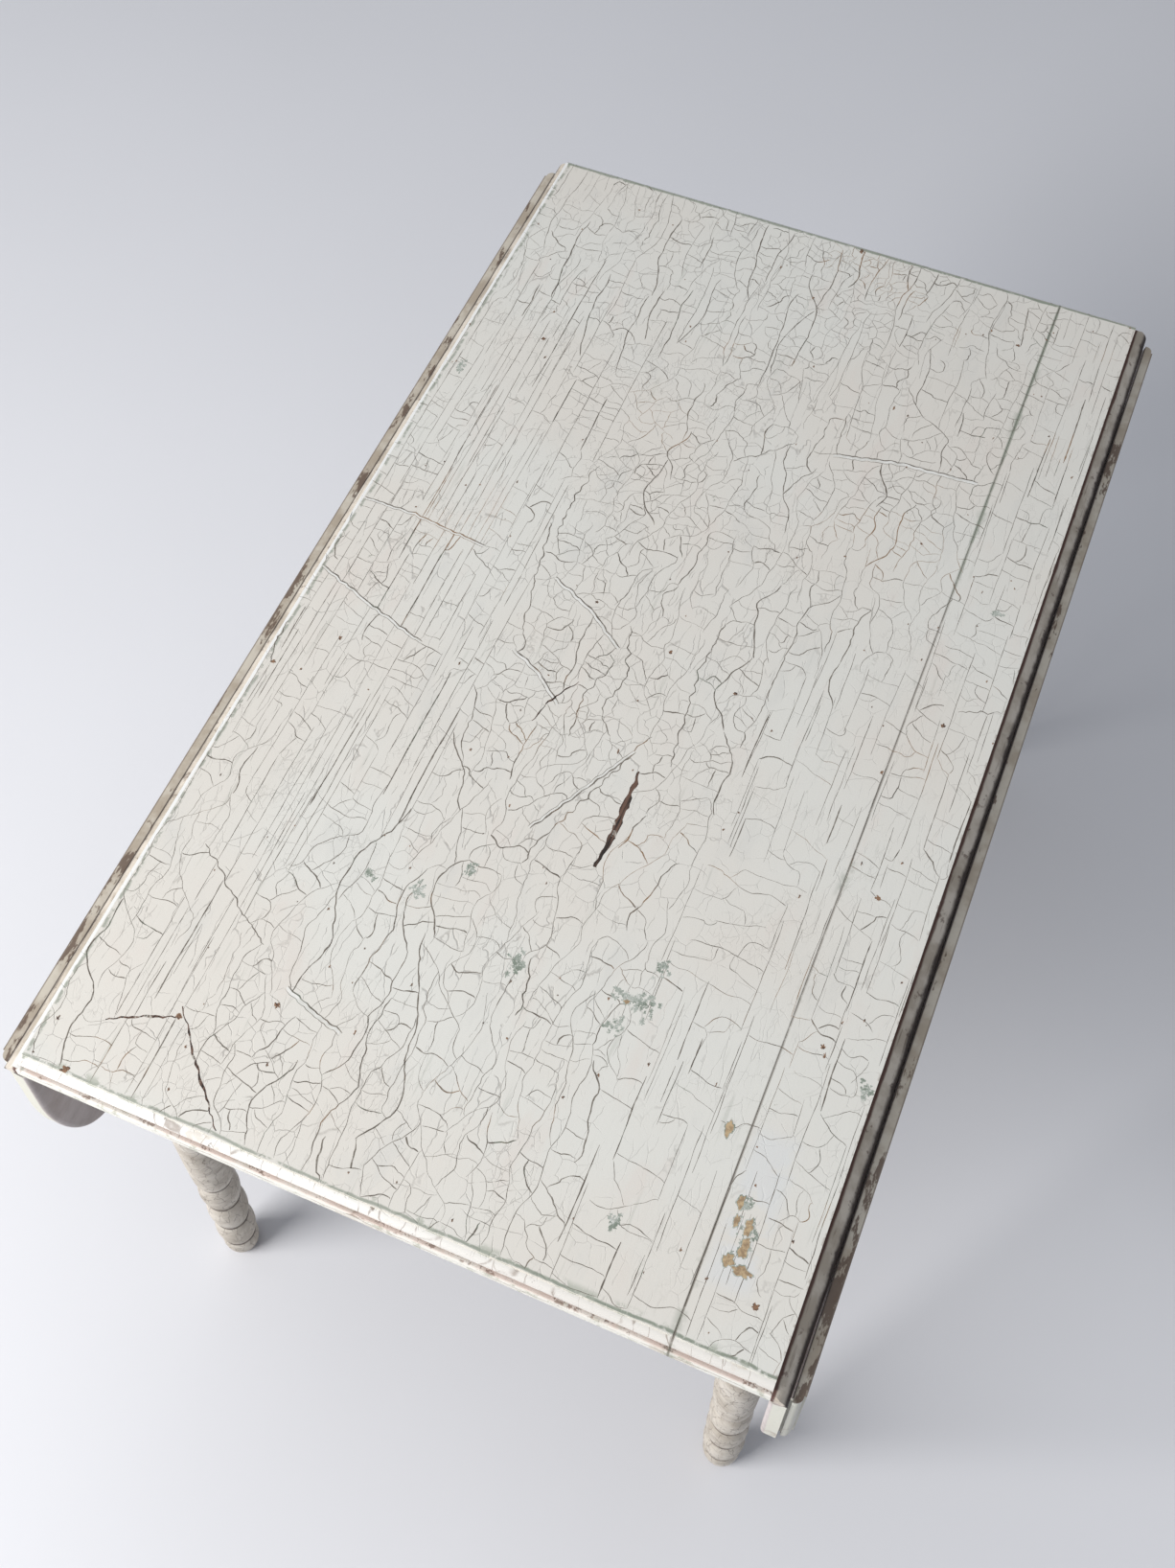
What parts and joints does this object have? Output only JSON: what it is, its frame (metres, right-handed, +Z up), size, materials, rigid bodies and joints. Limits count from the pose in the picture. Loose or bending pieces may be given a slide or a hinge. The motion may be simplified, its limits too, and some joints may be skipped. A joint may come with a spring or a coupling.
{
  "type": "drop leaf table",
  "caption": "Painted wooden table with a fixed top, hanging leaves on rule joints, turned legs and swing-up leaf stays.",
  "frame": {"origin": "floor level at the middle of the table", "axes": "+Z up, +Y along the longest side, +X towards the leaf beside the narrow top board; front end at -Y"},
  "size_m": [0.683, 1.128, 0.737],
  "materials": {
    "painted_top": "crackled off-white paint",
    "painted_leaf": "crackled off-white paint",
    "painted_leg": "worn off-white paint",
    "painted_rail": "worn off-white paint",
    "bare_wood": "aged bare wood",
    "iron_hinge": "rusted",
    "steel_screw": "tarnished"
  },
  "bodies": {
    "table": {"glue_blocks_back": "bare_wood", "glue_blocks_front": "bare_wood", "glue_blocks_left": "bare_wood", "glue_blocks_right": "bare_wood", "hinge_left_1_pin": "iron_hinge", "hinge_left_1_top_plate": "iron_hinge", "hinge_left_2_pin": "iron_hinge", "hinge_left_2_top_plate": "iron_hinge", "hinge_left_3_pin": "iron_hinge", "hinge_left_3_top_plate": "iron_hinge", "hinge_right_1_pin": "iron_hinge", "hinge_right_1_top_plate": "iron_hinge", "hinge_right_2_pin": "iron_hinge", "hinge_right_2_top_plate": "iron_hinge", "hinge_right_3_pin": "iron_hinge", "hinge_right_3_top_plate": "iron_hinge", "hinge_screws_top": "steel_screw", "leg_back_left": "painted_leg", "leg_back_right": "painted_leg", "leg_front_left": "painted_leg", "leg_front_right": "painted_leg", "rail_back": "painted_rail", "rail_front": "painted_rail", "rail_left": "painted_rail", "rail_right": "painted_rail", "stay_bracket_left_back": "bare_wood", "stay_bracket_left_front": "bare_wood", "stay_bracket_right_back": "bare_wood", "stay_bracket_right_front": "bare_wood", "stay_pins_left": "iron_hinge", "stay_pins_right": "iron_hinge", "stay_screws": "steel_screw", "tenon_pegs": "bare_wood", "top_board_narrow": "painted_top", "top_board_wide": "painted_top", "top_screws": "steel_screw"},
    "leaf_left": {"hinge_left_1_leaf_plate": "iron_hinge", "hinge_left_2_leaf_plate": "iron_hinge", "hinge_left_3_leaf_plate": "iron_hinge", "hinge_screws_leaf_left": "steel_screw", "leaf_left": "painted_leaf", "stay_stops_left": "bare_wood"},
    "leaf_right": {"hinge_right_1_leaf_plate": "iron_hinge", "hinge_right_2_leaf_plate": "iron_hinge", "hinge_right_3_leaf_plate": "iron_hinge", "hinge_screws_leaf_right": "steel_screw", "leaf_right": "painted_leaf", "stay_stops_right": "bare_wood"},
    "stay_left_front": {"stay_left_front": "bare_wood"},
    "stay_left_back": {"stay_left_back": "bare_wood"},
    "stay_right_front": {"stay_right_front": "bare_wood"},
    "stay_right_back": {"stay_right_back": "bare_wood"}
  },
  "joints": [
    {"name": "leaf_left_hinge", "type": "hinge", "parent": "table", "child": "leaf_left", "pos_m": [-0.3175, 0, 0.713], "axis": [0, 1, 0], "range_deg": [0, 90]},
    {"name": "leaf_right_hinge", "type": "hinge", "parent": "table", "child": "leaf_right", "pos_m": [0.3175, 0, 0.713], "axis": [0, -1, 0], "range_deg": [0, 90]},
    {"name": "stay_left_front_pivot", "type": "hinge", "parent": "table", "child": "stay_left_front", "pos_m": [-0.302, -0.21, 0.6456], "axis": [0, 1, 0], "range_deg": [0, 117]},
    {"name": "stay_left_back_pivot", "type": "hinge", "parent": "table", "child": "stay_left_back", "pos_m": [-0.302, 0.21, 0.6456], "axis": [0, 1, 0], "range_deg": [0, 117]},
    {"name": "stay_right_front_pivot", "type": "hinge", "parent": "table", "child": "stay_right_front", "pos_m": [0.302, -0.21, 0.6456], "axis": [0, -1, 0], "range_deg": [0, 117]},
    {"name": "stay_right_back_pivot", "type": "hinge", "parent": "table", "child": "stay_right_back", "pos_m": [0.302, 0.21, 0.6456], "axis": [0, -1, 0], "range_deg": [0, 117]}
  ],
  "couplings": [
    {"joint": "stay_left_front_pivot", "follows": "leaf_left_hinge", "ratio": 1.3},
    {"joint": "stay_left_back_pivot", "follows": "leaf_left_hinge", "ratio": 1.3},
    {"joint": "stay_right_front_pivot", "follows": "leaf_right_hinge", "ratio": 1.3},
    {"joint": "stay_right_back_pivot", "follows": "leaf_right_hinge", "ratio": 1.3}
  ]
}
